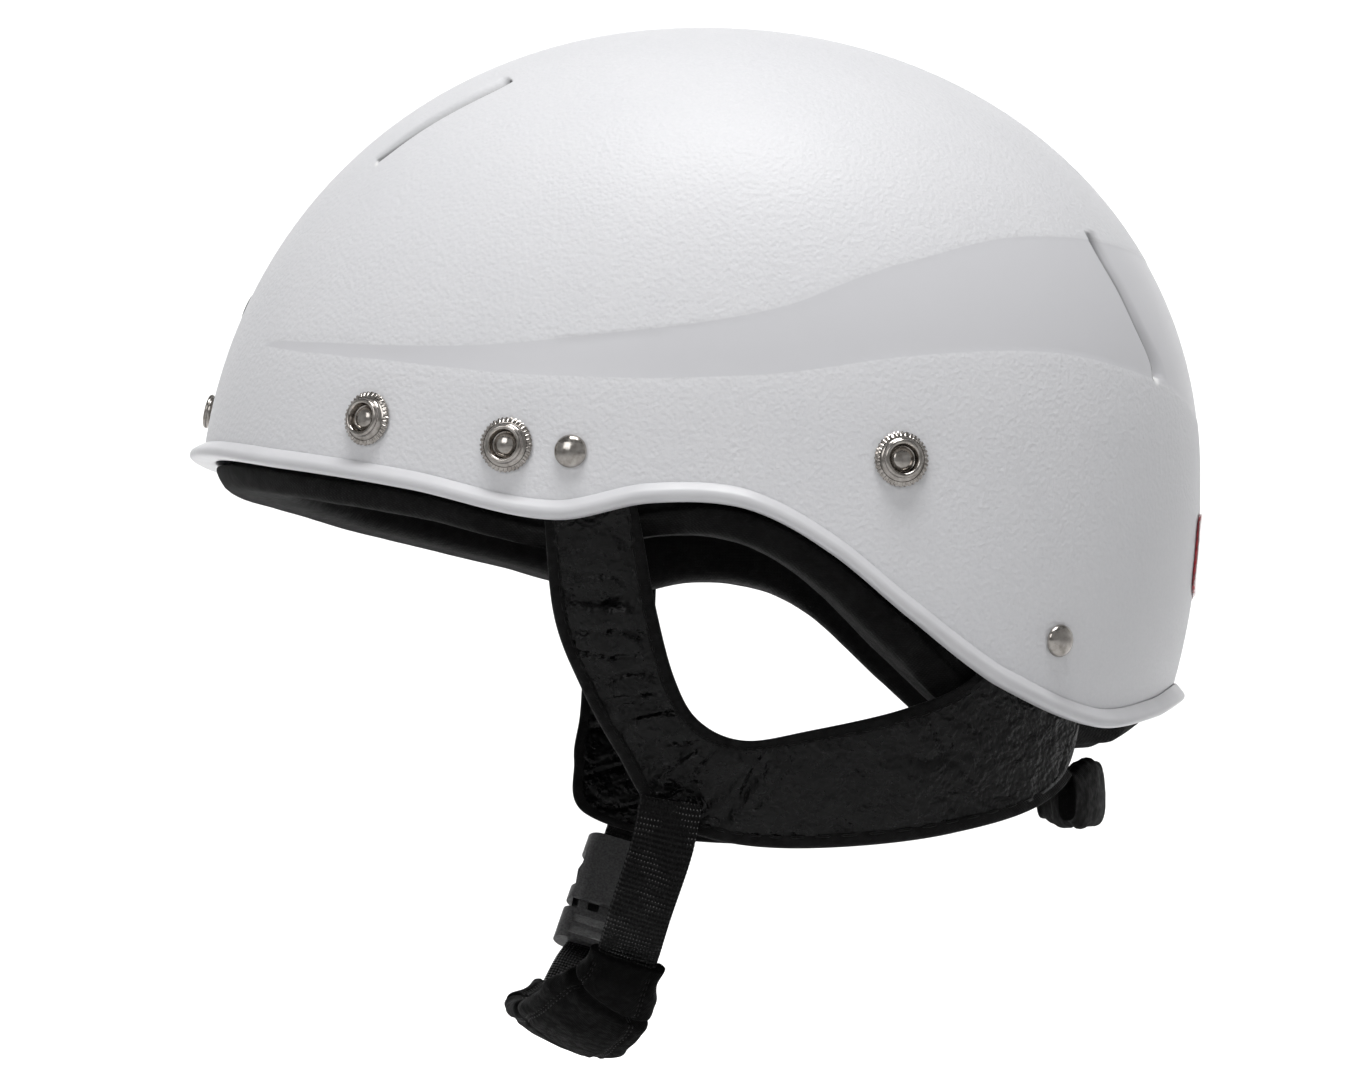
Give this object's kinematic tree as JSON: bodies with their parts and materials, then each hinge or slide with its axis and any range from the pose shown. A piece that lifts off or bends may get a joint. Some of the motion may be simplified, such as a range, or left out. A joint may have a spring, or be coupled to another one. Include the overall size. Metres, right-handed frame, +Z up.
{
  "type": "half-shell helmet",
  "caption": "White half-shell helmet with visor studs, foam liner, padded Y harness around the ears, side-release buckle and chin pad.",
  "frame": {"origin": "middle of the head opening at brow height, on the middle plane, where a head holds the helmet", "axes": "front is -X, the wearer's left is -Y, +Z up to the crown"},
  "size_m": [0.2747, 0.2262, 0.2807],
  "materials": {
    "shell_plastic": "fine leather grain with a soft pearl sheen; smooth in the swoosh band",
    "trim_plastic": "smooth satin white",
    "liner_foam": "black bead foam",
    "band_fabric": "black brushed fabric over foam",
    "pad_fabric": "black knit over foam",
    "badge_plastic": "dark glossy plaque, blank",
    "reflector_plastic": "red prismatic reflector",
    "nickel": "nickel plate, knurled edge",
    "steel": "plain steel",
    "tab_plastic": "black sheet plastic",
    "yoke_leather": "black leatherette, wrinkled, low gloss",
    "binding_fabric": "black folded tape",
    "nape_fabric": "black nylon over foam",
    "webbing": "black ribbed nylon webbing",
    "buckle_plastic": "black acetal with a fine texture",
    "chin_fabric": "black nylon sleeve with a stitched seam"
  },
  "bodies": {
    "helmet": {"outer_shell": "shell_plastic", "rim_trim": "trim_plastic", "impact_liner": "liner_foam", "liner_edge_band": "band_fabric", "crown_pad": "pad_fabric", "forehead_pad": "pad_fabric", "side_pad_left": "pad_fabric", "side_pad_right": "pad_fabric", "rear_pad": "pad_fabric", "front_badge": "badge_plastic", "rear_reflector": "reflector_plastic", "snap_studs": "nickel", "snap_rivets": "nickel", "strap_rivets": "nickel", "snap_washers": "steel", "rivet_washers": "steel", "anchor_tabs": "tab_plastic", "yoke_left": "yoke_leather", "yoke_right": "yoke_leather", "yoke_binding_left": "binding_fabric", "yoke_binding_right": "binding_fabric", "nape_strap": "nape_fabric"},
    "chin_strap": {"chin_webbing": "webbing", "chin_pad": "chin_fabric", "buckle_webbing": "webbing", "buckle_socket": "buckle_plastic", "buckle_plug": "buckle_plastic"},
    "prong_front": {"buckle_prong_front": "buckle_plastic"},
    "prong_rear": {"buckle_prong_rear": "buckle_plastic"}
  },
  "joints": [
    {"name": "chin_strap_swing", "type": "hinge", "parent": "helmet", "child": "chin_strap", "pos_m": [-0.001, -0.0895, -0.082], "axis": [-0.0998, 0.9949, -0.0111], "range_deg": [-20, 16], "stiffness_Nm_per_rad": 0.4},
    {"name": "prong_front_squeeze", "type": "hinge", "parent": "chin_strap", "child": "prong_front", "pos_m": [-0.03472, 0.07216, -0.11285], "axis": [-0.1417, 0.8746, -0.4636], "range_deg": [0, 7], "stiffness_Nm_per_rad": 0.05},
    {"name": "prong_rear_squeeze", "type": "hinge", "parent": "chin_strap", "child": "prong_rear", "pos_m": [-0.0221, 0.07216, -0.11671], "axis": [0.1417, -0.8746, 0.4636], "range_deg": [0, 7], "stiffness_Nm_per_rad": 0.05}
  ]
}
